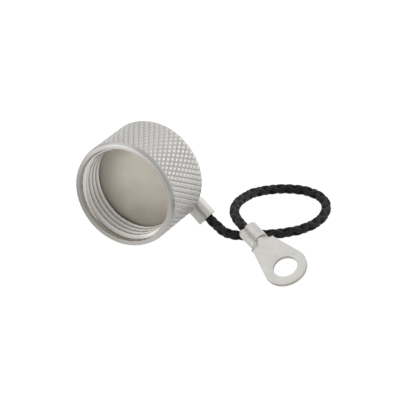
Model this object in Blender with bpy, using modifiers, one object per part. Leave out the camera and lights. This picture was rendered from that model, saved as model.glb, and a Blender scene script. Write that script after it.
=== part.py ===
"""Dust cap for a threaded circular connector, kept on its connector by a corded lanyard.

A knurled metal cap with a sealing gasket lies on its side. A shoulder screw on its back holds the eye of a
crimped ring terminal, which can turn round the shoulder. A short braided cord runs from it to a second ring
terminal, whose free eye goes under one of the connector's fixing screws.

Metres, +Z up. The cap's axis runs along +Y, from its mouth to its back, and the cap lies on the plane z = 0.
"""

import math

import bmesh
import bpy
import numpy as np
from mathutils import Matrix, Vector
from mathutils.geometry import interpolate_bezier

# Fit of pieces that seat on or in each other
CLEARANCE = 0.00025

# Cap, turned from bar: depths are measured from the mouth
KNURL_RADIUS = 0.01205
KNURL_DEPTH = 0.0004
KNURL_COUNT = 60
KNURL_ROWS = 10
KNURL_RUNOUT = 0.0006
RIM_CHAMFER_DROP = 0.0003
RIM_CHAMFER_LENGTH = 0.00105
WALL = 0.00105
THREAD_HEIGHT = 0.00085
COUNTERBORE_DEPTH = 0.0008
THREAD_RELIEF = 0.0005
CAP_LENGTH = 0.0141
FLOOR_THICKNESS = 0.00475
BACK_CHAMFER = 0.0005

# Gasket, punched from rubber sheet and sprung into the groove behind the thread
GASKET_THICKNESS = 0.0012
GASKET_EDGE_ROUND = 0.0002

# Shoulder screw and washer on the back
SHOULDER_RADIUS = 0.0024
SCREW_RADIUS = 0.0020
FLOOR_UNDER_SCREW = 0.00115
SCREW_TIP_CHAMFER = 0.0004
HEAD_RADIUS = 0.0050
HEAD_HEIGHT = 0.0024
HEAD_EDGE = 0.0009
HEAD_DOME_STEPS = 6
RECESS_SPAN = 0.0044
RECESS_WIDTH = 0.0010
RECESS_DEPTH = 0.0014
WASHER_RADIUS = 0.0056
WASHER_THICKNESS = 0.0007

# Ring terminals, both alike, stamped from sheet and rolled: lengths are measured from the eye's centre
SHEET = 0.0008
TONGUE_RADIUS = 0.0047
BARREL_START = 0.0106
NECK_LENGTH = 0.0022
NECK_HALF_WIDTH = 0.0028
NECK_ROWS = 4
BARREL_LENGTH = 0.0048
BARREL_STEPS = 20
SEAM_SETBACK = 0.0006
GROOVE_ANGLE = math.radians(-22)
GROOVE_HALF_ANGLE = math.radians(14)
GROOVE_DEPTH = 0.0005
GROOVE_RUN_IN = 0.0010
TONGUE_STEPS = 30
EYE_STEPS = 32

# How the terminal on the cap hangs round the screw's shoulder
CAP_TERMINAL_ANGLE = math.radians(40.6)

# How the free terminal lies: turned over, with its ring's edge on the ground and its barrel raised
FREE_EYE_X = 0.03817
FREE_EYE_Y = -0.0076
FREE_HEADING = math.radians(151)
FREE_RISE = math.radians(13)
FREE_ROLL = math.radians(152.5)

# Cord
CORD_RADIUS = 0.0010
CORD_INSERTION = 0.0036
CORD_POINT_SPACING = 0.0038
CORD_ROUTE = (
    (0.0149, 0.0064, 0.00114),
    (0.0178, 0.0046, 0.00108),
    (0.0208, 0.0046, 0.00108),
    (0.0240, 0.0065, 0.00108),
    (0.0269, 0.0085, 0.00108),
    (0.0293, 0.0106, 0.00108),
    (0.0316, 0.0136, 0.00108),
    (0.0331, 0.0180, 0.00108),
    (0.0329, 0.0230, 0.00108),
    (0.0310, 0.0278, 0.00108),
    (0.0280, 0.0308, 0.00108),
    (0.0246, 0.0319, 0.00108),
    (0.0220, 0.0317, 0.00110),
    (0.0195, 0.0306, 0.00118),
    (0.0174, 0.0286, 0.00142),
    (0.0160, 0.0259, 0.00185),
    (0.0152, 0.0229, 0.00240),
    (0.0152, 0.0193, 0.00300),
    (0.0156, 0.0153, 0.00365),
    (0.0167, 0.0112, 0.00425),
    (0.0184, 0.0075, 0.00475),
    (0.0207, 0.0043, 0.00510),
    (0.0232, 0.0019, 0.00518),
)

# Sizes and depths that follow
RIM_RADIUS = KNURL_RADIUS - RIM_CHAMFER_DROP
THREAD_MAJOR_RADIUS = KNURL_RADIUS - WALL
THREAD_MINOR_RADIUS = THREAD_MAJOR_RADIUS - THREAD_HEIGHT
GASKET_SEAT_DEPTH = CAP_LENGTH - FLOOR_THICKNESS
GASKET_FACE_DEPTH = GASKET_SEAT_DEPTH - CLEARANCE - GASKET_THICKNESS
THREAD_END_DEPTH = GASKET_FACE_DEPTH - THREAD_RELIEF
SCREW_LENGTH = FLOOR_THICKNESS - FLOOR_UNDER_SCREW
WASHER_FACE_DEPTH = CAP_LENGTH + CLEARANCE
TERMINAL_FACE_DEPTH = WASHER_FACE_DEPTH + WASHER_THICKNESS + CLEARANCE
HEAD_FACE_DEPTH = TERMINAL_FACE_DEPTH + SHEET + CLEARANCE
OVERALL_LENGTH = HEAD_FACE_DEPTH + HEAD_HEIGHT
EYE_RADIUS = SHOULDER_RADIUS + CLEARANCE
BARREL_RADIUS = CORD_RADIUS + CLEARANCE + SHEET
NECK_START = BARREL_START - NECK_LENGTH
MOUTH_Y = -OVERALL_LENGTH / 2
AXIS_HEIGHT = KNURL_RADIUS
FREE_OVERTURN = -math.cos(FREE_RISE) * math.cos(FREE_ROLL)
FREE_EYE_Z = TONGUE_RADIUS * math.sqrt(1 - FREE_OVERTURN ** 2) + SHEET * FREE_OVERTURN
HALF_PITCH = math.pi / KNURL_COUNT
TURNED_STEPS = 48
MERGE = 0.000002


def make_collection(name):
    """A new collection in the scene."""
    collection = bpy.data.collections.new(name)
    bpy.context.scene.collection.children.link(collection)
    return collection


def make_material(name, colour, roughness, metallic):
    """A plain Principled material."""
    material = bpy.data.materials.new(name)
    material.use_nodes = True
    shader = material.node_tree.nodes["Principled BSDF"]
    shader.inputs["Base Color"].default_value = (*colour, 1.0)
    shader.inputs["Roughness"].default_value = roughness
    shader.inputs["Metallic"].default_value = metallic
    return material


def make_empty(name, location, rotation, collection):
    """An empty that carries a group of pieces."""
    empty = bpy.data.objects.new(name, None)
    empty.empty_display_size = 0.005
    empty.location = location
    empty.rotation_euler = rotation
    collection.objects.link(empty)
    return empty


def add_piece(name, data, material, parent, collection):
    """A named piece of the part, carried by an empty."""
    piece = bpy.data.objects.new(name, data)
    piece.parent = parent
    data.materials.clear()
    data.materials.append(material)
    collection.objects.link(piece)
    return piece


def finish_mesh(bm, name):
    """Ends a bmesh as a smooth-shaded mesh whose faces point out."""
    bmesh.ops.recalc_face_normals(bm, faces=bm.faces)
    mesh = bpy.data.meshes.new(name)
    bm.to_mesh(mesh)
    bm.free()
    mesh.shade_smooth()
    mesh.set_sharp_from_angle(angle=math.radians(25))
    return mesh


def evaluated_mesh(blank):
    """The mesh that an object's modifiers make of it. The object is removed."""
    graph = bpy.context.evaluated_depsgraph_get()
    mesh = bpy.data.meshes.new_from_object(blank.evaluated_get(graph))
    mesh.name = blank.name
    bpy.data.objects.remove(blank, do_unlink=True)
    return mesh


def turned_mesh(name, profile, steps, closed=False):
    """Revolves a profile of (radius, depth) points round Z with a Screw modifier."""
    points = [(radius, 0.0, depth) for radius, depth in profile]
    edges = [(i, i + 1) for i in range(len(points) - 1)]
    if closed:
        edges.append((len(points) - 1, 0))
    outline = bpy.data.meshes.new(name)
    outline.from_pydata(points, edges, [])
    blank = bpy.data.objects.new(name, outline)
    bpy.context.scene.collection.objects.link(blank)
    turn = blank.modifiers.new("Turn", "SCREW")
    turn.steps = steps
    turn.render_steps = steps
    turn.use_merge_vertices = True
    turn.merge_threshold = MERGE
    mesh = evaluated_mesh(blank)
    mesh.shade_smooth()
    mesh.set_sharp_from_angle(angle=math.radians(25))
    return mesh


def extrude_ring(bm, rim, radius, depth, turn=0.0):
    """Extrudes a ring of edges to a new radius and depth, turned round the axis."""
    old = rim[0].verts[0].co.copy()
    made = bmesh.ops.extrude_edge_only(bm, edges=rim)["geom"]
    verts = [part for part in made if isinstance(part, bmesh.types.BMVert)]
    growth = radius / math.hypot(old.x, old.y)
    bmesh.ops.scale(bm, verts=verts, vec=(growth, growth, 1.0))
    bmesh.ops.rotate(bm, verts=verts, cent=(0, 0, 0), matrix=Matrix.Rotation(turn, 3, "Z"))
    bmesh.ops.translate(bm, verts=verts, vec=(0, 0, depth - old.z))
    edges = [part for part in made if isinstance(part, bmesh.types.BMEdge)]
    faces = [part for part in made if isinstance(part, bmesh.types.BMFace)]
    return edges, faces


def raise_diamonds(bm, faces):
    """Turns the faces between the knurl's staggered rings into raised four-sided points."""
    corners = {vert for face in faces for vert in face.verts}
    bmesh.ops.triangulate(bm, faces=faces, quad_method="SHORT_EDGE")
    seams = []
    for edge in bm.edges:
        first, second = edge.verts
        level = abs(first.co.z - second.co.z) < MERGE
        if level and first in corners and first.co.xy.length < KNURL_RADIUS - KNURL_DEPTH / 2:
            seams.append(edge)
    bmesh.ops.dissolve_edges(bm, edges=seams)
    diamonds = [face for face in bm.faces if len(face.verts) == 4 and corners.issuperset(face.verts)]
    for peak in bmesh.ops.poke(bm, faces=diamonds, center_mode="MEAN")["verts"]:
        outward = KNURL_RADIUS / peak.co.xy.length
        peak.co.x *= outward
        peak.co.y *= outward


def cap_mesh():
    """The cap as one stack of rings: from the gasket's seat out of the mouth, along the knurl, into the hole."""
    bm = bmesh.new()
    bmesh.ops.create_circle(bm, radius=THREAD_MAJOR_RADIUS, segments=KNURL_COUNT)
    bmesh.ops.translate(bm, verts=bm.verts, vec=(0, 0, GASKET_SEAT_DEPTH))
    rim = list(bm.edges)
    bmesh.ops.contextual_create(bm, geom=rim)
    bore = (
        (THREAD_MAJOR_RADIUS, THREAD_END_DEPTH),
        (THREAD_MINOR_RADIUS, THREAD_END_DEPTH - THREAD_HEIGHT / 2),
        (THREAD_MINOR_RADIUS, COUNTERBORE_DEPTH + THREAD_HEIGHT / 2),
        (THREAD_MAJOR_RADIUS, COUNTERBORE_DEPTH),
        (THREAD_MAJOR_RADIUS, 0.0),
        (RIM_RADIUS, 0.0),
        (KNURL_RADIUS, RIM_CHAMFER_LENGTH),
    )
    for radius, depth in bore:
        rim, faces = extrude_ring(bm, rim, radius, depth)

    side = []
    knurl_end = CAP_LENGTH - BACK_CHAMFER
    first_row = RIM_CHAMFER_LENGTH + KNURL_RUNOUT
    row_height = (knurl_end - KNURL_RUNOUT - first_row) / KNURL_ROWS
    turn = HALF_PITCH
    for row in range(KNURL_ROWS + 1):
        rim, faces = extrude_ring(bm, rim, KNURL_RADIUS - KNURL_DEPTH, first_row + row * row_height, turn)
        side += faces
        turn = -turn
    rim, faces = extrude_ring(bm, rim, KNURL_RADIUS, knurl_end, turn)
    side += faces

    hole = SCREW_RADIUS + CLEARANCE
    hole_end = CAP_LENGTH - SCREW_LENGTH - CLEARANCE
    for radius, depth in ((KNURL_RADIUS - BACK_CHAMFER, CAP_LENGTH), (hole, CAP_LENGTH), (hole, hole_end)):
        rim, faces = extrude_ring(bm, rim, radius, depth)
    bmesh.ops.contextual_create(bm, geom=rim)
    raise_diamonds(bm, side)
    return finish_mesh(bm, "cap_shell")


def gasket_mesh():
    """The flat sealing disc, whose edge reaches into the groove behind the thread."""
    radius = THREAD_MAJOR_RADIUS - CLEARANCE
    back = GASKET_FACE_DEPTH + GASKET_THICKNESS
    profile = (
        (0.0, back),
        (radius, back),
        (radius, GASKET_FACE_DEPTH + GASKET_EDGE_ROUND),
        (radius - GASKET_EDGE_ROUND, GASKET_FACE_DEPTH),
        (0.0, GASKET_FACE_DEPTH),
    )
    return turned_mesh("sealing_gasket", profile, KNURL_COUNT)


def washer_mesh():
    """The plain washer between the cap's back and the terminal."""
    top = WASHER_FACE_DEPTH + WASHER_THICKNESS
    profile = (
        (EYE_RADIUS, top),
        (WASHER_RADIUS, top),
        (WASHER_RADIUS, WASHER_FACE_DEPTH),
        (EYE_RADIUS, WASHER_FACE_DEPTH),
    )
    return turned_mesh("lanyard_washer", profile, TURNED_STEPS, closed=True)


def screw_mesh(cutters):
    """The shoulder screw, with a domed head and a cross recess."""
    tip = CAP_LENGTH - SCREW_LENGTH
    dome_height = HEAD_HEIGHT - HEAD_EDGE
    profile = []
    for step in range(HEAD_DOME_STEPS + 1):
        angle = math.pi / 2 * step / HEAD_DOME_STEPS
        depth = HEAD_FACE_DEPTH + HEAD_EDGE + dome_height * math.cos(angle)
        profile.append((HEAD_RADIUS * math.sin(angle), depth))
    profile += [
        (HEAD_RADIUS, HEAD_FACE_DEPTH),
        (SHOULDER_RADIUS, HEAD_FACE_DEPTH),
        (SHOULDER_RADIUS, WASHER_FACE_DEPTH),
        (SCREW_RADIUS, WASHER_FACE_DEPTH),
        (SCREW_RADIUS, tip + SCREW_TIP_CHAMFER),
        (SCREW_RADIUS - SCREW_TIP_CHAMFER, tip),
        (0.0, tip),
    ]
    blank = bpy.data.objects.new("lanyard_screw", turned_mesh("lanyard_screw", profile, TURNED_STEPS))
    bpy.context.scene.collection.objects.link(blank)
    for name, span, width in (("recess_x", RECESS_SPAN, RECESS_WIDTH), ("recess_y", RECESS_WIDTH, RECESS_SPAN)):
        arm = bmesh.new()
        bmesh.ops.create_cube(arm, size=1.0)
        bmesh.ops.scale(arm, verts=arm.verts, vec=(span, width, 2 * RECESS_DEPTH))
        for vert in arm.verts:
            if vert.co.z < 0:
                vert.co.x = math.copysign(min(abs(vert.co.x), RECESS_WIDTH), vert.co.x)
                vert.co.y = math.copysign(min(abs(vert.co.y), RECESS_WIDTH), vert.co.y)
        bmesh.ops.translate(arm, verts=arm.verts, vec=(0, 0, OVERALL_LENGTH))
        cutter = bpy.data.objects.new(name, finish_mesh(arm, name))
        cutter.hide_render = True
        cutter.display_type = "WIRE"
        cutters.objects.link(cutter)
        recess = blank.modifiers.new(name, "BOOLEAN")
        recess.operation = "DIFFERENCE"
        recess.solver = "EXACT"
        recess.object = cutter
    return evaluated_mesh(blank)


def column_angles():
    """Where the rolled sheet's lengthwise lines lie round the barrel, measured from the line under its axis."""
    step = math.tau / BARREL_STEPS
    around = [step * i - math.pi for i in range(BARREL_STEPS + 1)]
    kept = [angle for angle in around if abs(angle - GROOVE_ANGLE) > GROOVE_HALF_ANGLE + step / 3]
    return sorted(kept + [GROOVE_ANGLE - GROOVE_HALF_ANGLE, GROOVE_ANGLE, GROOVE_ANGLE + GROOVE_HALF_ANGLE])


def rolled(across, along):
    """Where a point of the flat blank lies once the sheet is rolled. The roll tightens along the neck."""
    share = min(max((along - NECK_START) / NECK_LENGTH, 0.0), 1.0)
    trough_half_width = BARREL_RADIUS * math.pi / 2
    across *= share + (1 - share) * NECK_HALF_WIDTH / trough_half_width
    curl = share * share * (3 - 2 * share) / BARREL_RADIUS
    if curl * BARREL_RADIUS < 0.001:
        return Vector((along, across, 0.0))
    return Vector((along, math.sin(across * curl) / curl, (1 - math.cos(across * curl)) / curl))


def roll_neck_and_barrel(bm):
    """Adds the neck and the closed barrel: a grid rolled up, without its corners beside the neck."""
    columns = column_angles()
    rows = [NECK_START + NECK_LENGTH * i / NECK_ROWS for i in range(NECK_ROWS + 1)]
    rows += [BARREL_START + GROOVE_RUN_IN, BARREL_START + BARREL_LENGTH]
    grid = bmesh.ops.create_grid(bm, x_segments=len(rows) - 1, y_segments=len(columns) - 1, size=1.0)["verts"]
    beside_neck = set()
    for vert in grid:
        row = round((vert.co.x + 1) / 2 * (len(rows) - 1))
        angle = columns[round((vert.co.y + 1) / 2 * (len(columns) - 1))]
        past_neck = abs(angle) - math.pi / 2
        along = rows[row]
        if past_neck > MERGE and row == NECK_ROWS:
            along += SEAM_SETBACK * past_neck / (math.pi / 2)
        if past_neck > MERGE and row < NECK_ROWS:
            beside_neck.add(vert)
        vert.co = rolled(angle * BARREL_RADIUS, along)
    bmesh.ops.delete(bm, geom=list(beside_neck), context="VERTS")


def lay_tongue(bm):
    """Adds the flat tongue: a round end with its eye, and straight sides to the neck."""
    reach = math.hypot(NECK_START, NECK_HALF_WIDTH)
    touch = math.atan2(NECK_HALF_WIDTH, NECK_START) + math.acos(TONGUE_RADIUS / reach)
    outline = []
    for step in range(TONGUE_STEPS + 1):
        angle = touch + (math.tau - 2 * touch) * step / TONGUE_STEPS
        outline.append(bm.verts.new((TONGUE_RADIUS * math.cos(angle), TONGUE_RADIUS * math.sin(angle), 0.0)))
    for angle in column_angles():
        if abs(angle) < math.pi / 2 + MERGE:
            outline.append(bm.verts.new((NECK_START, NECK_HALF_WIDTH * angle / (math.pi / 2), 0.0)))
    edges = [bm.edges.new((outline[i - 1], outline[i])) for i in range(len(outline))]
    eye = bmesh.ops.create_circle(bm, radius=EYE_RADIUS, segments=EYE_STEPS)["verts"]
    edges += list({edge for vert in eye for edge in vert.link_edges})
    bmesh.ops.triangle_fill(bm, edges=edges, use_beauty=True)


def terminal_mesh(name):
    """A ring terminal in its own frame: the eye's centre is the origin and the barrel points along +X."""
    bm = bmesh.new()
    roll_neck_and_barrel(bm)
    lay_tongue(bm)
    bmesh.ops.remove_doubles(bm, verts=bm.verts, dist=MERGE)
    bmesh.ops.recalc_face_normals(bm, faces=bm.faces)
    tongue = min(bm.faces, key=lambda face: face.calc_center_median().x)
    if tongue.normal.z > 0:
        bmesh.ops.reverse_faces(bm, faces=bm.faces)
    sheet = bpy.data.meshes.new(name)
    bm.to_mesh(sheet)
    bm.free()
    blank = bpy.data.objects.new(name, sheet)
    bpy.context.scene.collection.objects.link(blank)
    thicken = blank.modifiers.new("Sheet", "SOLIDIFY")
    thicken.thickness = SHEET
    thicken.offset = -1.0
    thicken.use_even_offset = True
    thicken.use_quality_normals = True
    mesh = evaluated_mesh(blank)
    for vert in mesh.vertices:
        spoke = Vector((0.0, vert.co.y, vert.co.z - BARREL_RADIUS))
        in_line = abs(math.atan2(spoke.y, -spoke.z) - GROOVE_ANGLE) < GROOVE_HALF_ANGLE / 2
        outside = spoke.length > BARREL_RADIUS - SHEET / 2
        if in_line and outside and vert.co.x > BARREL_START + GROOVE_RUN_IN / 2:
            vert.co -= spoke.normalized() * GROOVE_DEPTH
    mesh.shade_smooth()
    mesh.set_sharp_from_angle(angle=math.radians(30))
    return mesh


def smooth_path(route):
    """Evenly spaced points on a smooth curve through a route's points."""
    count = len(route)
    headings = [(route[min(i + 1, count - 1)] - route[max(i - 1, 0)]).normalized() for i in range(count)]
    fine = [route[0]]
    for i in range(count - 1):
        third = (route[i + 1] - route[i]).length / 3
        leave = route[i] + headings[i] * third
        arrive = route[i + 1] - headings[i + 1] * third
        fine += interpolate_bezier(route[i], leave, arrive, route[i + 1], 17)[1:]
    fine = np.array(fine)
    run = np.concatenate(([0.0], np.cumsum(np.linalg.norm(np.diff(fine, axis=0), axis=1))))
    stops = np.linspace(0.0, run[-1], round(run[-1] / CORD_POINT_SPACING) + 1)
    return np.column_stack([np.interp(stops, run, fine[:, axis]) for axis in range(3)])


def cord_curve(points):
    """A round cord as a curve with a round section and filled ends."""
    curve = bpy.data.curves.new("lanyard_cord", "CURVE")
    curve.dimensions = "3D"
    curve.bevel_depth = CORD_RADIUS
    curve.bevel_resolution = 2
    curve.use_fill_caps = True
    spline = curve.splines.new("POLY")
    spline.points.add(len(points) - 1)
    for knot, point in zip(spline.points, points):
        knot.co = (*point, 1.0)
    return curve


# Start from an empty scene
for old in list(bpy.data.objects):
    bpy.data.objects.remove(old, do_unlink=True)
part = make_collection("connector_dust_cap")
cutting_tools = make_collection("cutting_tools")

plated = make_material("satin_plated_metal", (0.62, 0.60, 0.57), 0.34, 1.0)
rubber = make_material("beige_rubber", (0.33, 0.29, 0.23), 0.75, 0.0)
steel = make_material("bright_screw_steel", (0.60, 0.59, 0.57), 0.28, 1.0)
tinned = make_material("tinned_sheet_metal", (0.66, 0.64, 0.60), 0.30, 1.0)
braid = make_material("black_braid", (0.012, 0.012, 0.014), 0.80, 0.0)

# The cap and what is fixed to it, on its own axis
cap_axis = make_empty("cap_axis", (0, MOUTH_Y, AXIS_HEIGHT), (-math.pi / 2, 0, 0), part)
add_piece("cap_shell", cap_mesh(), plated, cap_axis, part)
add_piece("sealing_gasket", gasket_mesh(), rubber, cap_axis, part)
add_piece("lanyard_screw", screw_mesh(cutting_tools), steel, cap_axis, part)
add_piece("lanyard_washer", washer_mesh(), steel, cap_axis, part)

# The lanyard, which turns round the screw's shoulder
swivel_at = Vector((0, MOUTH_Y + TERMINAL_FACE_DEPTH, AXIS_HEIGHT))
swivel = make_empty("lanyard_swivel", swivel_at, (0, 0, 0), part)
near = add_piece("cap_terminal", terminal_mesh("cap_terminal"), tinned, swivel, part)
near.rotation_euler = (-math.pi / 2, CAP_TERMINAL_ANGLE, 0)
far = add_piece("free_terminal", terminal_mesh("free_terminal"), tinned, swivel, part)
far.location = Vector((FREE_EYE_X, FREE_EYE_Y, FREE_EYE_Z)) - swivel_at
far.rotation_euler = (FREE_ROLL, -FREE_RISE, FREE_HEADING)

# The cord, from inside one barrel to inside the other
bpy.context.view_layer.update()
route = [Vector(point) for point in CORD_ROUTE]
for depth in (0.0, CORD_INSERTION):
    barrel_middle = Vector((BARREL_START + BARREL_LENGTH - depth, 0, BARREL_RADIUS))
    route.insert(0, near.matrix_world @ barrel_middle)
    route.append(far.matrix_world @ barrel_middle)
cord = add_piece("lanyard_cord", cord_curve(smooth_path(route)), braid, swivel, part)
cord.location = -swivel_at
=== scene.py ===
"""A dust cap for a threaded connector, with its corded lanyard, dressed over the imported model."""

import math

import bmesh
import bpy
import numpy as np
from mathutils import Matrix, Vector
from mathutils.geometry import interpolate_bezier


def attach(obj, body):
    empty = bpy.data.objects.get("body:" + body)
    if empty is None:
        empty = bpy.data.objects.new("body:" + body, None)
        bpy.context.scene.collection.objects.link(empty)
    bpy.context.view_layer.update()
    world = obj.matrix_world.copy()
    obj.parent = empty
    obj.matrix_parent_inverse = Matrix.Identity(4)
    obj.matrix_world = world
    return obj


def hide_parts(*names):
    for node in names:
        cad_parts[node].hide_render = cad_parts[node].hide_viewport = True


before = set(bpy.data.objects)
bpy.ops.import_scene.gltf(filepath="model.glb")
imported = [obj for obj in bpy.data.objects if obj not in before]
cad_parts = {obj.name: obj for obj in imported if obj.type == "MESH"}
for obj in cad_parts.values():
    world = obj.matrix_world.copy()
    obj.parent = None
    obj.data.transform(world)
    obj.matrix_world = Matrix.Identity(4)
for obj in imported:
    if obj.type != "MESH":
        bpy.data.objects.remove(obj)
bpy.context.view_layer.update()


# Camera: a long lens from well off, a little above the cap and to the right of its mouth.
# It aims beside the mouth, so that the whole lanyard is in the picture.
VIEW_TURN = math.radians(27.647)
VIEW_HEIGHT = math.radians(25.478)
VIEW_DISTANCE = 0.61802
VIEW_RIGHT_OF_MOUTH = 0.016568
VIEW_ABOVE_MOUTH = -0.000984
CAP_RADIUS = 0.01205
MOUTH_Y = -0.009375

mouth_centre = Vector((0, MOUTH_Y, CAP_RADIUS))
view_right = Vector((math.cos(VIEW_TURN), math.sin(VIEW_TURN), 0))
view_out = Vector((math.sin(VIEW_TURN), -math.cos(VIEW_TURN), math.tan(VIEW_HEIGHT))).normalized()
view_up = view_out.cross(view_right)
camera = bpy.data.objects.new("camera", bpy.data.cameras.new("camera"))
camera.data.angle = math.radians(8)
camera.data.clip_start = 0.01
camera.location = (
    mouth_centre + view_right * VIEW_RIGHT_OF_MOUTH + view_up * VIEW_ABOVE_MOUTH + view_out * VIEW_DISTANCE
)
camera.rotation_euler = (math.pi / 2 - VIEW_HEIGHT, 0, VIEW_TURN)
bpy.context.scene.collection.objects.link(camera)
bpy.context.scene.camera = camera
bpy.context.scene.view_settings.view_transform = "Standard"


# Table: a plain pale board under everything, three metres square. It is seen as white paper, with only a
# faint shadow where the cap and its lanyard lie on it.
TABLE_SIZE = 3.0
TABLE_COLOUR = (0.93, 0.93, 0.93, 1.0)
PAPER_GLOW = 1.08
GLOW_SEEN = 0.92
GLOW_REFLECTED = 0.4


class Wire:
    """An output in a material's nodes. Sums and products of wires add the Math nodes that they need."""

    def __init__(self, tree, socket=None):
        self.tree = tree
        self.socket = socket

    def node(self, kind, inputs=None, output=0, stops=None, **settings):
        """Adds a node, sets it up, fills its sockets with values or wires, and gives one of its outputs."""
        made = self.tree.nodes.new("ShaderNode" + kind)
        for name, value in settings.items():
            setattr(made, name, value)
        if stops:
            ramp = made.color_ramp.elements
            while len(ramp) < len(stops):
                ramp.new(0.5)
            for element, (place, colour) in zip(ramp, stops):
                element.position = place
                element.color = (*colour, 1.0)
        for name, value in (inputs or {}).items():
            if isinstance(value, Wire):
                self.tree.links.new(value.socket, made.inputs[name])
            else:
                made.inputs[name].default_value = value
        return Wire(self.tree, made.outputs[output] if len(made.outputs) else None)

    def math(self, operation, first, second=0.0):
        return self.node("Math", {0: first, 1: second}, operation=operation)

    def __add__(self, other):
        return self.math("ADD", self, other)

    def __sub__(self, other):
        return self.math("SUBTRACT", self, other)

    def __rsub__(self, other):
        return self.math("SUBTRACT", other, self)

    def __mul__(self, other):
        return self.math("MULTIPLY", self, other)

    def __truediv__(self, other):
        return self.math("DIVIDE", self, other)

    def __pow__(self, other):
        return self.math("POWER", self, other)

    def __gt__(self, other):
        return self.math("GREATER_THAN", self, other)

    def __lt__(self, other):
        return self.math("LESS_THAN", self, other)

    __radd__ = __add__
    __rmul__ = __mul__


def new_finish(name):
    """A new material, and the start of its nodes."""
    material = bpy.data.materials.new(name)
    material.use_nodes = True
    material.node_tree.nodes.clear()
    return material, Wire(material.node_tree)


paper, nodes = new_finish("white_paper")
seen = nodes.node("LightPath")
in_metal = nodes.node("LightPath", output="Is Glossy Ray")
through = nodes.node("LightPath", output="Is Transmission Ray")
board = nodes.node("BsdfDiffuse", {"Color": TABLE_COLOUR})
glow = nodes.node("Emission", {"Color": (1, 1, 1, 1), "Strength": PAPER_GLOW})
glow_share = seen * GLOW_SEEN + (in_metal + through) * GLOW_REFLECTED
surface = nodes.node("MixShader", {0: glow_share, 1: board, 2: glow})
nodes.node("OutputMaterial", {"Surface": surface})
bm = bmesh.new()
bmesh.ops.create_grid(bm, x_segments=4, y_segments=4, size=TABLE_SIZE / 2)
table = bpy.data.objects.new("table", bpy.data.meshes.new("table"))
bm.to_mesh(table.data)
bm.free()
table.data.materials.append(paper)
bpy.context.scene.collection.objects.link(table)


# Light: a pale room and five soft square lamps that face the cap, two low on the left in front, two behind
# and one overhead. Each lamp is given by its place, its width and its power.
ROOM_COLOUR = (0.80, 0.81, 0.83, 1.0)
ROOM_STRENGTH = 0.86

room = bpy.data.worlds.new("pale_room")
room.use_nodes = True
room.node_tree.nodes["Background"].inputs["Color"].default_value = ROOM_COLOUR
room.node_tree.nodes["Background"].inputs["Strength"].default_value = ROOM_STRENGTH
bpy.context.scene.world = room


def hang_lamp(name, place, width, power):
    """A square soft lamp that faces the cap."""
    data = bpy.data.lights.new(name, "AREA")
    data.size = width
    data.energy = power
    lamp = bpy.data.objects.new(name, data)
    lamp.location = place
    lamp.rotation_euler = (Vector(place) - mouth_centre).to_track_quat("Z", "Y").to_euler()
    bpy.context.scene.collection.objects.link(lamp)


hang_lamp("front_lamp", (-0.28, -0.53, 0.14), 0.24, 0.8)
hang_lamp("left_lamp", (-0.58, -0.25, 0.13), 0.24, 0.3)
hang_lamp("back_lamp", (0.33, 0.50, 0.24), 0.60, 0.9)
hang_lamp("rear_lamp", (-0.24, 0.52, 0.30), 0.26, 0.10)
hang_lamp("top_lamp", (-0.33, 0.05, 0.55), 0.60, 0.5)


# Cord: black synthetic cord of four strands, plaited round, 2 mm thick and 95 mm long with its hidden ends.
# It leaves the barrel on the cap, passes under the free terminal, loops on the table and enters its barrel.
CORD_ROUTE = (
    (0.00896, 0.00797, 0.00437),
    (0.01169, 0.00797, 0.00203),
    (0.0149, 0.0064, 0.00114),
    (0.0178, 0.0046, 0.00108),
    (0.0208, 0.0046, 0.00108),
    (0.0240, 0.0065, 0.00108),
    (0.0269, 0.0085, 0.00108),
    (0.0293, 0.0106, 0.00108),
    (0.0316, 0.0136, 0.00108),
    (0.0331, 0.0180, 0.00108),
    (0.0329, 0.0230, 0.00108),
    (0.0310, 0.0278, 0.00108),
    (0.0280, 0.0308, 0.00108),
    (0.0246, 0.0319, 0.00108),
    (0.0220, 0.0317, 0.00110),
    (0.0195, 0.0306, 0.00118),
    (0.0174, 0.0286, 0.00142),
    (0.0160, 0.0259, 0.00185),
    (0.0152, 0.0229, 0.00240),
    (0.0152, 0.0193, 0.00300),
    (0.0156, 0.0153, 0.00365),
    (0.0167, 0.0112, 0.00425),
    (0.0184, 0.0075, 0.00475),
    (0.0207, 0.0043, 0.00510),
    (0.0232, 0.0019, 0.00518),
    (0.025145, 0.000700, 0.004748),
    (0.028213, -0.001001, 0.003938),
)
CURVE_STEPS = 16
PLAIT_TURN = 0.0080
STRANDS = 4
STRAND_RADIUS = 0.00053
STRAND_MIDDLE = 0.00057
STRAND_WEAVE = 0.00005
STEPS_PER_TURN = 24
YARN_SHADES = ((0.25, (0.003, 0.003, 0.003)), (0.85, (0.021, 0.019, 0.0195)))


def smooth_line(route, spacing):
    """Evenly spaced points on a smooth curve through a route's points."""
    route = [Vector(point) for point in route]
    count = len(route)
    headings = [(route[min(i + 1, count - 1)] - route[max(i - 1, 0)]).normalized() for i in range(count)]
    fine = [route[0]]
    for i in range(count - 1):
        third = (route[i + 1] - route[i]).length / 3
        leave = route[i] + headings[i] * third
        arrive = route[i + 1] - headings[i + 1] * third
        fine += interpolate_bezier(route[i], leave, arrive, route[i + 1], CURVE_STEPS + 1)[1:]
    fine = np.array(fine)
    run = np.concatenate(([0.0], np.cumsum(np.linalg.norm(np.diff(fine, axis=0), axis=1))))
    stops = np.linspace(0.0, run[-1], round(run[-1] / spacing) + 1)
    return np.column_stack([np.interp(stops, run, fine[:, axis]) for axis in range(3)]), stops


def mesh_of(blank):
    """The mesh that an object's curve or modifiers make. The object is removed."""
    graph = bpy.context.evaluated_depsgraph_get()
    mesh = bpy.data.meshes.new_from_object(blank.evaluated_get(graph))
    bpy.data.objects.remove(blank, do_unlink=True)
    return mesh


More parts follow.
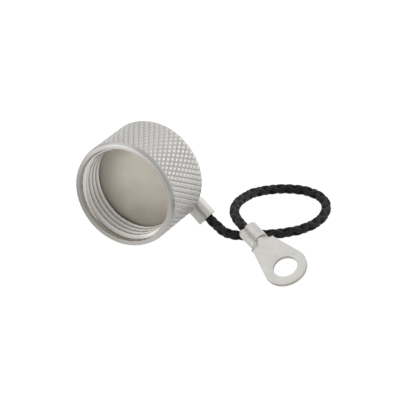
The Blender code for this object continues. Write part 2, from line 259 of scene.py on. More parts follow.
def show_piece(name, mesh, finish, slot, body, *nodes):
    """Shows a finished mesh as a piece of the object, in place of the model's plain nodes."""
    mesh.name = name
    mesh.materials.clear()
    mesh.materials.append(finish)
    piece = bpy.data.objects.new(name, mesh)
    bpy.context.scene.collection.objects.link(piece)
    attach(piece, body)
    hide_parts(*nodes)
    return piece


centres, runs = smooth_line(CORD_ROUTE, PLAIT_TURN / STEPS_PER_TURN)
ahead = np.gradient(centres, axis=0)
ahead /= np.linalg.norm(ahead, axis=1)[:, None]
beside = np.cross(ahead, view_out)
beside /= np.linalg.norm(beside, axis=1)[:, None]
above = np.cross(beside, ahead)
plait = bpy.data.curves.new("plait", "CURVE")
plait.dimensions = "3D"
plait.bevel_depth = STRAND_RADIUS
plait.bevel_resolution = 5
plait.use_fill_caps = True
for strand in range(STRANDS):
    way = 1 if strand % 2 == 0 else -1
    turned = way * math.tau * runs / PLAIT_TURN + math.pi * (strand // 2) + math.pi / 4
    out = STRAND_MIDDLE + way * STRAND_WEAVE * np.cos(2 * math.tau * runs / PLAIT_TURN)
    line = centres + (out * np.cos(turned))[:, None] * beside + (out * np.sin(turned))[:, None] * above
    line[:, 2] = np.maximum(line[:, 2], STRAND_RADIUS)
    spline = plait.splines.new("POLY")
    spline.points.add(len(line) - 1)
    for knot, point in zip(spline.points, line):
        knot.co = (*point, 1.0)
blank = bpy.data.objects.new("plait", plait)
bpy.context.scene.collection.objects.link(blank)
cord_mesh = mesh_of(blank)
cord_mesh.shade_smooth()

black_yarn, nodes = new_finish("black_yarn")
on_strand = nodes.node("TexCoord", output="UV")
round_strand = nodes.node("SeparateXYZ", {0: on_strand}, output="X")
along_strand = nodes.node("SeparateXYZ", {0: on_strand}, output="Y")
fibre = nodes.math("SINE", (round_strand * 9 + along_strand * 150) * math.tau)
place = nodes.node("TexCoord", output="Object")
fluff = nodes.node("TexNoise", {"Vector": place, "Scale": 5200.0, "Detail": 3.0})
worn = nodes.node("TexNoise", {"Vector": place, "Scale": 420.0, "Detail": 2.0})
tone = fibre * 0.25 + fluff * 0.5 + worn * 0.4
colour = nodes.node("ValToRGB", {"Fac": tone}, stops=YARN_SHADES)
relief = nodes.node("Bump", {"Height": fibre + fluff * 0.8, "Strength": 0.6, "Distance": 0.00004})
yarn = nodes.node(
    "BsdfPrincipled",
    {
        "Base Color": colour,
        "Roughness": 0.62,
        "Sheen Weight": 0.08,
        "Sheen Roughness": 0.4,
        "Specular IOR Level": 0.28,
        "Normal": relief,
    },
)
nodes.node("OutputMaterial", {"Surface": yarn})
cord = show_piece("plaited_cord", cord_mesh, black_yarn, "cord_braid", "lanyard", "lanyard_cord")


# Cap: turned from bar, threaded inside, knurled outside and plated satin, lying on its knurl.
# All depths are measured from its mouth. The thread is right-handed, 22 mm by 1.5 mm, and a shallow
# counterbore leads into it.
KNURL_DEPTH = 0.00026
KNURL_COUNT = 60
KNURL_ROWS = 10
KNURL_RUNOUT = 0.0006
RIM_RUNOUT = 0.0002
KNURL_SLOPE = 0.00025
RIM_RADIUS = 0.01175
RIM_CHAMFER_LENGTH = 0.00105
MOUTH_RADIUS = 0.0108
COUNTERBORE_DEPTH = 0.0012
LEAD_IN_LENGTH = 0.0003
THREAD_MAJOR_RADIUS = 0.0110
THREAD_MINOR_RADIUS = 0.01015
THREAD_PITCH = 0.0015
THREAD_END_DEPTH = 0.0074
THREAD_START = 0.000567
THREAD_TURNS = 8
THREAD_CREST_SHARE = 0.11
THREAD_ROOT_SHARE = 0.06
THREAD_ROUND = 0.00008
BORE_START = 0.0001
GROOVE_RADIUS = 0.01103
GASKET_SEAT_DEPTH = 0.00935
CAP_LENGTH = 0.0141
BACK_CHAMFER = 0.0005
SCREW_HOLE_RADIUS = 0.00225
SCREW_HOLE_END = 0.01025
EDGE_BREAK = 0.00004
# The tint below is taken from the plating as painted shade in the thread's roots, and less in the
# counterbore.
THREAD_PAINTED_SHADE = (0.17, 0.18, 0.20)
STEPS_ROUND = 120
MERGE = 0.000001
cap_place = Matrix.Translation(mouth_centre) @ Matrix.Rotation(-math.pi / 2, 4, "X")


def part_way(run, length):
    """The share of a length that a run has covered, from 0 to 1."""
    return min(max(run / length, 0.0), 1.0)


def grow_ring(bm, rim, radius, depth, turn=0.0):
    """Extrudes a ring of edges to a new radius and depth, turned round the axis."""
    made = bmesh.ops.extrude_edge_only(bm, edges=rim)["geom"]
    verts = [part for part in made if isinstance(part, bmesh.types.BMVert)]
    for vert in verts:
        share = radius / vert.co.xy.length
        vert.co = (vert.co.x * share, vert.co.y * share, depth)
    bmesh.ops.rotate(bm, verts=verts, cent=(0, 0, 0), matrix=Matrix.Rotation(turn, 3, "Z"))
    return [part for part in made if isinstance(part, bmesh.types.BMEdge)]


def sharp_edges(bm, least):
    """The edges whose two faces meet at more than an angle."""
    return [edge for edge in bm.edges if edge.is_manifold and edge.calc_face_angle() > least]


def ease(bm, parts, width, segments=3, affect="EDGES"):
    """Rounds edges, or the corners of an outline, to an even width."""
    bmesh.ops.bevel(
        bm,
        geom=parts,
        offset=width,
        segments=segments,
        profile=0.5,
        affect=affect,
        material=-1,
        clamp_overlap=True,
    )


def smooth_mesh(bm, least):
    """Ends a bmesh as a smooth-shaded mesh, on which edges over an angle stay sharp."""
    mesh = bpy.data.meshes.new("smooth")
    bm.to_mesh(mesh)
    bm.free()
    mesh.shade_smooth()
    mesh.set_sharp_from_angle(angle=least)
    return mesh


# The outside, from the blind hole in the back, round the back's edge and along the knurl to the mouth.
bm = bmesh.new()
bmesh.ops.create_circle(bm, radius=SCREW_HOLE_RADIUS, segments=KNURL_COUNT)
bmesh.ops.translate(bm, verts=bm.verts, vec=(0, 0, SCREW_HOLE_END))
rim = list(bm.edges)
bmesh.ops.contextual_create(bm, geom=rim)
rim = grow_ring(bm, rim, SCREW_HOLE_RADIUS, CAP_LENGTH)
rim = grow_ring(bm, rim, CAP_RADIUS - BACK_CHAMFER, CAP_LENGTH)
knurl_end = CAP_LENGTH - BACK_CHAMFER
rim = grow_ring(bm, rim, CAP_RADIUS, knurl_end)
plain_faces = set(bm.faces)
last_row = RIM_CHAMFER_LENGTH + RIM_RUNOUT
row_height = (knurl_end - KNURL_RUNOUT - last_row) / KNURL_ROWS
turn = math.pi / KNURL_COUNT
for row in range(KNURL_ROWS + 1):
    row_depth = knurl_end - KNURL_RUNOUT - row * row_height
    rim = grow_ring(bm, rim, CAP_RADIUS - KNURL_DEPTH, row_depth, turn)
    turn = -turn
rim = grow_ring(bm, rim, CAP_RADIUS, RIM_CHAMFER_LENGTH, turn)
knurl_faces = [face for face in bm.faces if face not in plain_faces]
corners = {vert for face in knurl_faces for vert in face.verts}
bmesh.ops.triangulate(bm, faces=knurl_faces, quad_method="SHORT_EDGE")
seams = []
for edge in bm.edges:
    first, second = edge.verts
    level = abs(first.co.z - second.co.z) < MERGE
    if level and first in corners and first.co.xy.length < CAP_RADIUS - KNURL_DEPTH / 2:
        seams.append(edge)
bmesh.ops.dissolve_edges(bm, edges=seams)
diamonds = [face for face in bm.faces if len(face.verts) == 4 and corners.issuperset(face.verts)]
bmesh.ops.inset_individual(
    bm, faces=diamonds, thickness=KNURL_SLOPE, depth=KNURL_DEPTH, use_even_offset=True
)
rim = grow_ring(bm, rim, RIM_RADIUS, 0.0)
rim = grow_ring(bm, rim, MOUTH_RADIUS + 2 * EDGE_BREAK, 0.0)
ease(bm, sharp_edges(bm, math.radians(12)), EDGE_BREAK, segments=2)
for vert in bm.verts:
    share = min(CAP_RADIUS / vert.co.xy.length, 1.0)
    vert.co = (vert.co.x * share, vert.co.y * share, vert.co.z)
outside = bpy.data.meshes.new("outside")
bm.to_mesh(outside)
bm.free()

# The bore: the thread's outline is spun along a helix, cut off level at both ends, held to the counterbore's
# width near the mouth, closed behind the groove and joined to the outside.
bm = bmesh.new()
crest = THREAD_PITCH * THREAD_CREST_SHARE
root = THREAD_PITCH * THREAD_ROOT_SHARE
tooth = [
    bm.verts.new((THREAD_MINOR_RADIUS, 0, crest)),
    bm.verts.new((THREAD_MAJOR_RADIUS, 0, THREAD_PITCH / 2 - root)),
    bm.verts.new((THREAD_MAJOR_RADIUS, 0, THREAD_PITCH / 2 + root)),
    bm.verts.new((THREAD_MINOR_RADIUS, 0, THREAD_PITCH - crest)),
    bm.verts.new((THREAD_MINOR_RADIUS, 0, THREAD_PITCH + crest)),
]
for first, second in zip(tooth, tooth[1:]):
    bm.edges.new((first, second))
ease(bm, tooth[1:4], THREAD_ROUND, affect="VERTICES")
bmesh.ops.translate(bm, verts=bm.verts, vec=(0, 0, THREAD_START - 3 * THREAD_PITCH))
bmesh.ops.spin(
    bm,
    geom=list(bm.verts) + list(bm.edges),
    cent=(0, 0, 0),
    axis=(0, 0, 1),
    dvec=(0, 0, THREAD_PITCH / STEPS_ROUND),
    angle=math.tau * THREAD_TURNS,
    steps=STEPS_ROUND * THREAD_TURNS,
    use_duplicate=False,
)
bmesh.ops.remove_doubles(bm, verts=bm.verts, dist=MERGE)
for cut_depth, side in ((BORE_START, {"clear_inner": True}), (THREAD_END_DEPTH, {"clear_outer": True})):
    whole = list(bm.verts) + list(bm.edges) + list(bm.faces)
    plane = {"plane_co": (0, 0, cut_depth), "plane_no": (0, 0, 1)}
    bmesh.ops.bisect_plane(bm, geom=whole, dist=MERGE / 10, **plane, **side)
for vert in bm.verts:
    past = part_way(vert.co.z - COUNTERBORE_DEPTH, LEAD_IN_LENGTH)
    least = MOUTH_RADIUS + (THREAD_MINOR_RADIUS - MOUTH_RADIUS) * past
    most = MOUTH_RADIUS + (THREAD_MAJOR_RADIUS - MOUTH_RADIUS) * past
    share = min(max(vert.co.xy.length, least), most) / vert.co.xy.length
    vert.co.x *= share
    vert.co.y *= share
rim = [edge for edge in bm.edges if edge.is_boundary and edge.verts[0].co.z > THREAD_END_DEPTH - MERGE]
rim = grow_ring(bm, rim, GROOVE_RADIUS, THREAD_END_DEPTH)
rim = grow_ring(bm, rim, GROOVE_RADIUS, GASKET_SEAT_DEPTH)
bmesh.ops.contextual_create(bm, geom=rim)
bm.from_mesh(outside)
bmesh.ops.bridge_loops(bm, edges=[edge for edge in bm.edges if edge.is_boundary])
bmesh.ops.recalc_face_normals(bm, faces=bm.faces)
bmesh.ops.transform(bm, matrix=cap_place, verts=bm.verts)
cap_mesh = smooth_mesh(bm, math.radians(35))


def darkened_colour(nodes, colour, shade, dark_tint, dark_share):
    """A metal's colour, made lighter or darker by a shade, less a share of a dark tint: painted shade in
    hollows, and darker cut edges.
    """
    shaded_tint = nodes.node("VectorMath", {0: colour, "Scale": shade}, operation="SCALE")
    taken = nodes.node("VectorMath", {0: dark_tint, "Scale": dark_share}, operation="SCALE")
    return nodes.node("VectorMath", {0: shaded_tint, 1: taken}, operation="SUBTRACT")


def metal_surface(nodes, tint, rough, relief):
    """Ends a material's nodes as bare metal."""
    inputs = {"Base Color": tint, "Roughness": rough, "Metallic": 1.0, "Normal": relief}
    nodes.node("OutputMaterial", {"Surface": nodes.node("BsdfPrincipled", inputs)})


def turned_metal(name, colour, roughness, with_knurl=False):
    """A plated finish over turned metal, on coordinates measured along and across the cap's axis."""
    material, nodes = new_finish(name)
    place = nodes.node("TexCoord", output="Object")
    centred = nodes.node("Mapping", {"Vector": place, "Location": (0, -MOUTH_Y, -CAP_RADIUS)})
    across = nodes.node("SeparateXYZ", {0: centred}, output="X")
    depth = nodes.node("SeparateXYZ", {0: centred}, output="Y")
    height = nodes.node("SeparateXYZ", {0: centred}, output="Z")
    radius = (across * across + height * height) ** 0.5
    cuts = nodes.node(
        "TexNoise", {"W": (radius + depth * 0.73) * 9000, "Scale": 1.0, "Detail": 4.0}, noise_dimensions="1D"
    )
    skin = nodes.node("TexNoise", {"Vector": place, "Scale": 2600.0, "Detail": 3.0})
    clouds = nodes.node("TexNoise", {"Vector": place, "Scale": 160.0, "Detail": 3.0})
    # The height term is painted shade: the metal is a little lighter towards its top and darker underneath.
    shade = clouds * 0.16 + height / radius * 0.03 + 0.90
    rough = clouds * 0.08 + skin * 0.06 + (roughness - 0.07)
    dark_share = 0.0
    if with_knurl:
        on_side = (depth > RIM_CHAMFER_LENGTH) * (depth < knurl_end)
        on_knurl = (radius > CAP_RADIUS - 1.5 * KNURL_DEPTH) * on_side
        # Painted shade: the knurl's valleys are darkened.
        valley = nodes.node("Clamp", {"Value": (CAP_RADIUS - radius) / KNURL_DEPTH * on_knurl})
        in_bore = (radius < THREAD_MAJOR_RADIUS + EDGE_BREAK) * (depth > 2 * EDGE_BREAK)
        in_mouth = in_bore * (depth < COUNTERBORE_DEPTH + LEAD_IN_LENGTH)
        thread_height = THREAD_MAJOR_RADIUS - THREAD_MINOR_RADIUS
        # Painted shade: the thread's roots are darkened, the counterbore less.
        root = nodes.node("Clamp", {"Value": (radius - THREAD_MINOR_RADIUS) / thread_height * in_bore})
        # Painted light and shade on the rim: its face and chamfer are darkened, least where they face up or
        # down, most at the sides, and less on the right than on the left.
        on_rim = (1 - in_bore) * (depth < RIM_CHAMFER_LENGTH)
        upright = (height - across * 0.3) / radius
        rim_shade = 0.46 - upright * upright * 0.30 - across / radius * 0.06
        shade = shade - valley * 0.26 - on_rim * rim_shade
        rough = rough + on_knurl * 0.12
        cuts = cuts * (1 - on_knurl)
        dark_share = root - in_mouth * 0.5
    relief = nodes.node("Bump", {"Height": cuts + skin * 0.35, "Strength": 0.25, "Distance": 0.00003})
    metal_surface(nodes, darkened_colour(nodes, colour, shade, THREAD_PAINTED_SHADE, dark_share), rough, relief)
    return material


satin_plating = turned_metal("satin_plating", (0.68, 0.66, 0.625), 0.37, with_knurl=True)
show_piece("knurled_cap", cap_mesh, satin_plating, "plated_cap", "cap", "cap_shell")


# Gasket: a disc punched from beige-grey rubber sheet, against which the connector's front edge seals.
# It is sprung into the groove behind the thread, and lies flat at the bottom of the bore.
GASKET_FACE_DEPTH = 0.0079
GASKET_THICKNESS = 0.0012
GASKET_RADIUS = 0.01075
GASKET_EDGE_ROUND = 0.0002
RUBBER_SHADES = ((0.0, (0.46, 0.415, 0.345)), (0.95, (0.80, 0.735, 0.64)))
TURNED_STEPS = 96
TURNED_EDGE = 0.00007


def turned_mesh(profile, closed=False):
    """Spins a profile of (radius, depth) points round the cap's axis, and eases its edges."""
    bm = bmesh.new()
    outline = [bm.verts.new((radius, 0, depth)) for radius, depth in profile]
    for i in range(0 if closed else 1, len(outline)):
        bm.edges.new((outline[i - 1], outline[i]))
    bmesh.ops.spin(
        bm,
        geom=list(bm.verts) + list(bm.edges),
        cent=(0, 0, 0),
        axis=(0, 0, 1),
        angle=math.tau,
        steps=TURNED_STEPS,
        use_merge=True,
        use_duplicate=False,
    )
    bmesh.ops.remove_doubles(bm, verts=bm.verts, dist=MERGE)
    bmesh.ops.recalc_face_normals(bm, faces=bm.faces)
    ease(bm, sharp_edges(bm, math.radians(25)), TURNED_EDGE)
    bmesh.ops.transform(bm, matrix=cap_place, verts=bm.verts)
    return smooth_mesh(bm, math.radians(35))


gasket_back = GASKET_FACE_DEPTH + GASKET_THICKNESS
gasket_profile = (
    (0.0, gasket_back),
    (GASKET_RADIUS, gasket_back),
    (GASKET_RADIUS, GASKET_FACE_DEPTH + GASKET_EDGE_ROUND),
    (GASKET_RADIUS - GASKET_EDGE_ROUND, GASKET_FACE_DEPTH),
    (0.0, GASKET_FACE_DEPTH),
)
beige_rubber, nodes = new_finish("beige_rubber")
place = nodes.node("TexCoord", output="Object")
grain = nodes.node("TexNoise", {"Vector": place, "Scale": 6000.0, "Detail": 4.0})
bloom = nodes.node("TexNoise", {"Vector": place, "Scale": 260.0, "Detail": 3.0})
specks = nodes.node("TexVoronoi", {"Vector": place, "Scale": 2400.0}) < 0.16
# Painted light: the gasket is lighter towards the top and darker towards the bottom.
painted_top_light = nodes.node("SeparateXYZ", {0: place}, output="Z") - CAP_RADIUS
tone = grain * 0.35 + bloom * 0.55 - specks * 0.10 + painted_top_light * 45
colour = nodes.node("ValToRGB", {"Fac": tone}, stops=RUBBER_SHADES)
relief = nodes.node("Bump", {"Height": grain, "Strength": 0.3, "Distance": 0.00003})
rubber = nodes.node(
    "BsdfPrincipled",
    {"Base Color": colour, "Roughness": bloom * 0.15 + 0.6, "Specular IOR Level": 0.35, "Normal": relief},
)
nodes.node("OutputMaterial", {"Surface": rubber})
gasket_mesh = turned_mesh(gasket_profile)
show_piece("rubber_gasket", gasket_mesh, beige_rubber, "gasket_rubber", "cap", "sealing_gasket")


# Washer and shoulder screw: turned from bright steel, on the back of the cap. The screw has a domed head
# with a cross recess and goes into a blind hole, and the cap's terminal turns on its shoulder.
SHOULDER_RADIUS = 0.0024
SCREW_RADIUS = 0.0020
SCREW_TIP = 0.0105
SCREW_TIP_CHAMFER = 0.0004
HEAD_RADIUS = 0.0050
HEAD_HEIGHT = 0.0024
HEAD_EDGE = 0.0009
HEAD_DOME_STEPS = 12
HEAD_FACE_DEPTH = 0.01635
RECESS_SPAN = 0.0044
RECESS_WIDTH = 0.0010
RECESS_DEPTH = 0.0014
RECESS_ROUND = 0.00015
WASHER_HOLE_RADIUS = 0.00265
WASHER_RADIUS = 0.0056
WASHER_FACE_DEPTH = 0.01435
WASHER_THICKNESS = 0.0007

bright_steel = turned_metal("bright_steel", (0.60, 0.595, 0.58), 0.28)
washer_back = WASHER_FACE_DEPTH + WASHER_THICKNESS
washer_profile = (
    (WASHER_HOLE_RADIUS, washer_back),
    (WASHER_RADIUS, washer_back),
    (WASHER_RADIUS, WASHER_FACE_DEPTH),
    (WASHER_HOLE_RADIUS, WASHER_FACE_DEPTH),
)
washer_mesh = turned_mesh(washer_profile, closed=True)
show_piece("plain_washer", washer_mesh, bright_steel, "screw_steel", "cap", "lanyard_washer")

screw_profile = []
for step in range(HEAD_DOME_STEPS + 1):
    angle = math.pi / 2 * step / HEAD_DOME_STEPS
    depth = HEAD_FACE_DEPTH + HEAD_EDGE + (HEAD_HEIGHT - HEAD_EDGE) * math.cos(angle)
    screw_profile.append((HEAD_RADIUS * math.sin(angle), depth))
screw_profile += [
    (HEAD_RADIUS, HEAD_FACE_DEPTH),
    (SHOULDER_RADIUS, HEAD_FACE_DEPTH),
    (SHOULDER_RADIUS, WASHER_FACE_DEPTH),
    (SCREW_RADIUS, WASHER_FACE_DEPTH),
    (SCREW_RADIUS, SCREW_TIP + SCREW_TIP_CHAMFER),
    (SCREW_RADIUS - SCREW_TIP_CHAMFER, SCREW_TIP),
    (0.0, SCREW_TIP),
]
blank = bpy.data.objects.new("screw", turned_mesh(screw_profile))
bpy.context.scene.collection.objects.link(blank)
punches = []
for span, width in ((RECESS_SPAN, RECESS_WIDTH), (RECESS_WIDTH, RECESS_SPAN)):
    bm = bmesh.new()
    bmesh.ops.create_cube(bm, size=1.0)
    bmesh.ops.scale(bm, verts=bm.verts, vec=(span, width, 2 * RECESS_DEPTH))
    for vert in bm.verts:
        if vert.co.z < 0:
            vert.co.x = math.copysign(min(abs(vert.co.x), RECESS_WIDTH), vert.co.x)
            vert.co.y = math.copysign(min(abs(vert.co.y), RECESS_WIDTH), vert.co.y)
    ease(bm, list(bm.edges), RECESS_ROUND)
    bmesh.ops.translate(bm, verts=bm.verts, vec=(0, 0, HEAD_FACE_DEPTH + HEAD_HEIGHT))
    bmesh.ops.transform(bm, matrix=cap_place, verts=bm.verts)
    punch = bpy.data.objects.new("punch", bpy.data.meshes.new("punch"))
    bm.to_mesh(punch.data)
    bm.free()
    bpy.context.scene.collection.objects.link(punch)
    punches.append(punch)
    recess = blank.modifiers.new("Recess", "BOOLEAN")
    recess.operation = "DIFFERENCE"
    recess.solver = "EXACT"
    recess.object = punch
screw_mesh = mesh_of(blank)
for punch in punches:
    bpy.data.objects.remove(punch, do_unlink=True)
show_piece("shoulder_screw", screw_mesh, bright_steel, "screw_steel", "cap", "lanyard_screw")


# Ring terminals: two alike, stamped from tinned copper sheet. The neck is rolled up into a closed barrel,
# which is crimped on the cord: pressed a little flat, with a lengthwise groove. Lengths are measured from
# the eye's centre.
SHEET = 0.0008
EYE_RADIUS = 0.00265
TONGUE_RADIUS = 0.0047
ROUND_STEPS = 72
NECK_START = 0.0084
NECK_HALF_WIDTH = 0.0028
NECK_ROWS = 10
NECK_PINCH = 0.09
LEAST_CURL = 0.001
BARREL_START = 0.01085
BARREL_RADIUS = 0.00205
BARREL_LENGTH = 0.00455
BARREL_STEPS = 48
BARREL_ROWS = 14
SEAM_SETBACK = 0.0006
CRIMP_WIDENING = 1.073
CRIMP_FLATTENING = 0.94
CRIMP_SQUARENESS = 2.8
CRIMP_ASIDE = 0.00012
GROOVE_ANGLE = math.radians(-22)
GROOVE_HALF_ANGLE = math.radians(20)
GROOVE_DEPTH = 0.00055
GROOVE_RUN_IN = 0.0034
GROOVE_VEER = math.radians(22)
GROOVE_SHARES = (-1.0, -0.72, -0.45, -0.2, 0.0, 0.2, 0.45, 0.72, 1.0)
STEP_START = -0.0010
STEP_FADE = 0.0006
SHEET_EDGE = 0.00012
CREASE = 0.00005
# Darkening of the tin, as a share of a dark tint: painted shade in the crimp's groove, a painted shadow
# along the step at the barrel's front, and darker cut edges round the tongue.
GROOVE_PAINTED_SHADE = 0.35
STEP_PAINTED_SHADOW = 0.3
CUT_EDGE_DARKENING = 0.35
TERMINAL_DARK_TINT = (0.50, 0.52, 0.55)


def column_angles():
    """Where the sheet's lengthwise lines lie round the barrel, measured from the line under its axis."""
    step = math.tau / BARREL_STEPS
    around = [step * i - math.pi for i in range(BARREL_STEPS + 1)]
    kept = [angle for angle in around if abs(angle - GROOVE_ANGLE) > GROOVE_HALF_ANGLE + step / 3]
    return sorted(kept + [GROOVE_ANGLE + share * GROOVE_HALF_ANGLE for share in GROOVE_SHARES])


def rolled(across, along):
    """Where a point of the flat blank lies once the sheet is rolled. The roll tightens along the neck."""
    share = part_way(along - NECK_START, BARREL_START - NECK_START)
    across *= share + (1 - share) * NECK_HALF_WIDTH / (BARREL_RADIUS * math.pi / 2)
    curl = share * share * (3 - 2 * share) / BARREL_RADIUS
    if curl * BARREL_RADIUS < LEAST_CURL:
        return Vector((along, across, 0.0))
    return Vector((along, math.sin(across * curl) / curl, (1 - math.cos(across * curl)) / curl))


def rolled_barrel(columns):
    """The neck and the barrel as one skin, rolled from a flat grid. At the seam its start is set back."""
    rows = [NECK_START + (BARREL_START - NECK_START) * i / NECK_ROWS for i in range(NECK_ROWS)]
    rows += [BARREL_START - 2 * CREASE, BARREL_START - CREASE / 2]
    neck_rows = len(rows)
    rows += [BARREL_START, BARREL_START + CREASE]
    rows += [BARREL_START + BARREL_LENGTH * (i + 1) / BARREL_ROWS for i in range(BARREL_ROWS)]
    bm = bmesh.new()
    made = bmesh.ops.create_grid(bm, x_segments=len(rows) - 1, y_segments=len(columns) - 1, size=1.0)
    beside_neck = []
    for vert in made["verts"]:
        row = round((vert.co.x + 1) / 2 * (len(rows) - 1))
        angle = columns[round((vert.co.y + 1) / 2 * (len(columns) - 1))]
        past_neck = max(abs(angle) - math.pi / 2, 0.0)
        along = rows[row]
        if past_neck > MERGE:
            setback = SEAM_SETBACK * past_neck / (math.pi / 2)
            along += setback * (1 - (along - BARREL_START) / BARREL_LENGTH)
            if row < neck_rows:
                beside_neck.append(vert)
        vert.co = rolled(angle * BARREL_RADIUS, along)
    bmesh.ops.delete(bm, geom=beside_neck, context="VERTS")
    return bm


def add_tongue(bm, columns):
    """Fills in the flat tongue, from the neck's edge round the eye, and turns the skin's faces down."""
    reach = math.hypot(NECK_START, NECK_HALF_WIDTH)
    touch = math.atan2(NECK_HALF_WIDTH, NECK_START) + math.acos(TONGUE_RADIUS / reach)
    outline = []
    for step in range(ROUND_STEPS + 1):
        angle = touch + (math.tau - 2 * touch) * step / ROUND_STEPS
        outline.append(bm.verts.new((TONGUE_RADIUS * math.cos(angle), TONGUE_RADIUS * math.sin(angle), 0.0)))
    for angle in columns:
        if abs(angle) < math.pi / 2 + MERGE:
            outline.append(bm.verts.new((NECK_START, NECK_HALF_WIDTH * angle / (math.pi / 2), 0.0)))
    edges = [bm.edges.new((outline[i - 1], outline[i])) for i in range(len(outline))]
    eye = bmesh.ops.create_circle(bm, radius=EYE_RADIUS, segments=ROUND_STEPS)["verts"]
    edges += list({edge for vert in eye for edge in vert.link_edges})
    bmesh.ops.triangle_fill(bm, edges=edges, use_beauty=True)
    bmesh.ops.remove_doubles(bm, verts=bm.verts, dist=MERGE)
    bmesh.ops.recalc_face_normals(bm, faces=bm.faces)
    tongue = min(bm.faces, key=lambda face: face.calc_center_median().x)
    if tongue.normal.z > 0:
        bmesh.ops.reverse_faces(bm, faces=bm.faces)


def thickened(skin):
    """The skin with the sheet's thickness, as a new bmesh. The skin is freed."""
    sheet = bpy.data.meshes.new("sheet")
    skin.to_mesh(sheet)
    skin.free()
    blank = bpy.data.objects.new("sheet", sheet)
    bpy.context.scene.collection.objects.link(blank)
    thicken = blank.modifiers.new("Sheet", "SOLIDIFY")
    thicken.thickness = SHEET
    thicken.offset = -1.0
    thicken.use_even_offset = True
    thicken.use_quality_normals = True
    bm = bmesh.new()
    bm.from_mesh(mesh_of(blank))
    return bm


def crimp(bm, shade_and_edge_mark):
    """Presses the groove and flattens the barrel. It paints shade into the groove and a shadow along the
    neck's step.
    """
    for vert in bm.verts:
        spoke = Vector((0.0, vert.co.y, vert.co.z - BARREL_RADIUS))
        outside = spoke.length > BARREL_RADIUS - SHEET / 2
        share = part_way(vert.co.x - NECK_START, BARREL_START - NECK_START)
        groove_at = GROOVE_ANGLE - GROOVE_VEER * (1 - share)
        aside = abs(math.atan2(spoke.y, -spoke.z) - groove_at) / GROOVE_HALF_ANGLE
        run_in = part_way(vert.co.x - NECK_START, GROOVE_RUN_IN)
        if aside < 1 and outside:
            vert.co -= spoke.normalized() * GROOVE_DEPTH * run_in * (0.5 + 0.5 * math.cos(math.pi * aside))
            # Painted shade in the groove.
            vert[shade_and_edge_mark] = GROOVE_PAINTED_SHADE * min(2 * run_in, 1) * (1 - aside)
        stepped = part_way(vert.co.y - STEP_START, STEP_FADE)
        # Painted shadow along the step at the front of the barrel.
        if outside and abs(vert.co.x - BARREL_START) < 0.8 * CREASE:
            vert[shade_and_edge_mark] = max(vert[shade_and_edge_mark], STEP_PAINTED_SHADOW * stepped)
        from_axis = vert.co - Vector((vert.co.x, 0, BARREL_RADIUS))
        pinched = vert.co - from_axis * NECK_PINCH * share * share + Vector((0, CRIMP_ASIDE * share, 0))
        if from_axis.z < 0:
            wide, high = abs(spoke.normalized().y), abs(spoke.normalized().z)
            from_axis /= (wide ** CRIMP_SQUARENESS + high ** CRIMP_SQUARENESS) ** (1 / CRIMP_SQUARENESS)
        middle = Vector((vert.co.x, CRIMP_ASIDE, BARREL_RADIUS * CRIMP_FLATTENING))
        crimped = middle + Vector((0, from_axis.y * CRIMP_WIDENING, from_axis.z * CRIMP_FLATTENING))
        if vert.co.x > BARREL_START - CREASE / 4:
            vert.co = crimped
        else:
            vert.co = vert.co.lerp(crimped, share * share).lerp(pinched, stepped)


def terminal_mesh(place):
    """A ring terminal, rolled, thickened, crimped, eased at its edges and moved to its place."""
    columns = column_angles()
    skin = rolled_barrel(columns)
    add_tongue(skin, columns)
    bm = thickened(skin)
    # Each corner carries a mark: painted shade in the groove, a painted shadow along the step, and darker
    # cut edges.
    shade_and_edge_mark = bm.verts.layers.float.new("shade_and_edge_mark")
    crimp(bm, shade_and_edge_mark)
    ease(bm, sharp_edges(bm, math.radians(50)), SHEET_EDGE)
    bm.normal_update()
    # The sheet's cut edges round the tongue are darkened.
    for face in bm.faces:
        if abs(face.normal.z) < 0.5 and face.calc_center_median().x < NECK_START:
            for vert in face.verts:
                vert[shade_and_edge_mark] = CUT_EDGE_DARKENING
    bmesh.ops.transform(bm, matrix=place, verts=bm.verts)
    return smooth_mesh(bm, math.radians(40))


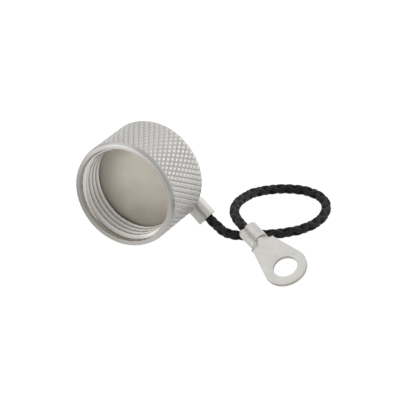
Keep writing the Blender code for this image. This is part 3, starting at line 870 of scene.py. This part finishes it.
bright_tin, nodes = new_finish("bright_tin")
place = nodes.node("TexCoord", output="Object")
drawn_out = {"Vector": place, "Rotation": (0.4, 0.3, 0.6), "Scale": (60, 1500, 1500)}
streaks = nodes.node("TexNoise", {"Vector": nodes.node("Mapping", drawn_out), "Scale": 1.0, "Detail": 4.0})
skin = nodes.node("TexNoise", {"Vector": place, "Scale": 2200.0, "Detail": 4.0})
clouds = nodes.node("TexNoise", {"Vector": place, "Scale": 520.0, "Detail": 4.0})
# The mark takes the dark tint from the tin: painted shade in the groove and at the step, and darker cut
# edges.
shade_and_edge_share = nodes.node("Attribute", output="Fac", attribute_name="shade_and_edge_mark")
shade = clouds * 0.28 + streaks * 0.10 + 0.81
tint = darkened_colour(nodes, (0.68, 0.665, 0.625), shade, TERMINAL_DARK_TINT, shade_and_edge_share)
relief = nodes.node("Bump", {"Height": streaks * 0.6 + skin * 0.5, "Strength": 0.3, "Distance": 0.00003})
metal_surface(nodes, tint, clouds * 0.12 + streaks * 0.06 + 0.43, relief)

CAP_TERMINAL_ANGLE = math.radians(40.6)
TERMINAL_FACE_DEPTH = 0.0153
swivel_at = Vector((0, MOUTH_Y + TERMINAL_FACE_DEPTH, CAP_RADIUS))
hang = Matrix.Rotation(CAP_TERMINAL_ANGLE, 4, "Y") @ Matrix.Rotation(-math.pi / 2, 4, "X")
near_mesh = terminal_mesh(Matrix.Translation(swivel_at) @ hang)
near_terminal = show_piece(
    "tinned_cap_terminal", near_mesh, bright_tin, "tinned_sheet", "lanyard", "cap_terminal"
)

FREE_EYE = (0.03817, -0.0076, 0.0030555)
FREE_HEADING = math.radians(151)
FREE_RISE = math.radians(13)
FREE_ROLL = math.radians(152.5)
lift = Matrix.Rotation(-FREE_RISE, 4, "Y") @ Matrix.Rotation(FREE_ROLL, 4, "X")
far_mesh = terminal_mesh(Matrix.Translation(FREE_EYE) @ Matrix.Rotation(FREE_HEADING, 4, "Z") @ lift)
far_terminal = show_piece(
    "tinned_free_terminal", far_mesh, bright_tin, "tinned_sheet", "lanyard", "free_terminal"
)
